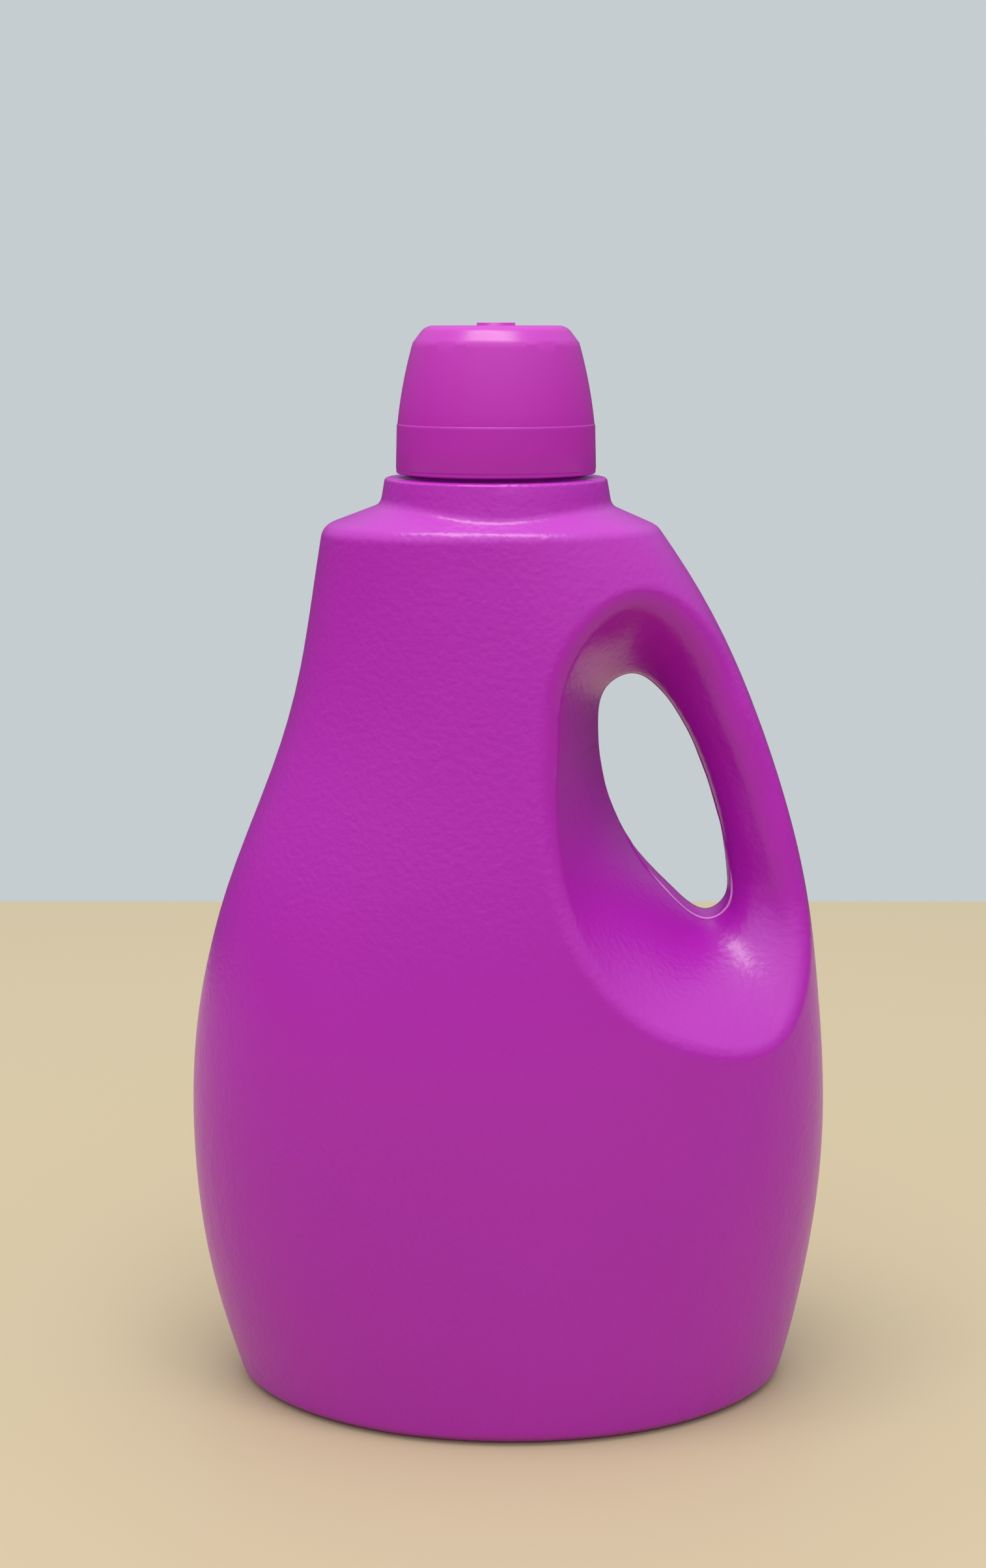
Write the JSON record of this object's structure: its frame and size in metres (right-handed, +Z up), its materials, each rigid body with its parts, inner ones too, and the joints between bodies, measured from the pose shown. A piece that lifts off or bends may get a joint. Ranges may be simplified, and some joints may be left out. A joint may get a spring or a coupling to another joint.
{
  "type": "handled plastic bottle with dosing cap",
  "caption": "Blow-moulded handled bottle for household liquid, with a through-handle, a stepped collar, a pour spout and a dosing cap that lifts off.",
  "frame": {"origin": "middle of the bottle's base, on the surface that it stands on", "axes": "+Z up, +X towards the handle, -Y towards the front; the neck's axis is parallel to Z at x = -3.65 mm"},
  "size_m": [0.1829, 0.119, 0.3054],
  "materials": {
    "bottle_hdpe": "satin blow-moulded polyethylene, magenta all through",
    "spout_ldpe": "satin moulded polyethylene, magenta all through",
    "cap_pp": "satin moulded polypropylene, magenta all through"
  },
  "bodies": {
    "container": {"bottle": "bottle_hdpe", "pour_spout": "spout_ldpe"},
    "cap": {"dosing_cap": "cap_pp"}
  },
  "joints": [
    {"name": "cap_lift", "type": "slide", "parent": "container", "child": "cap", "axis": [0, 0, 1], "range_m": [0, 0.045]}
  ]
}
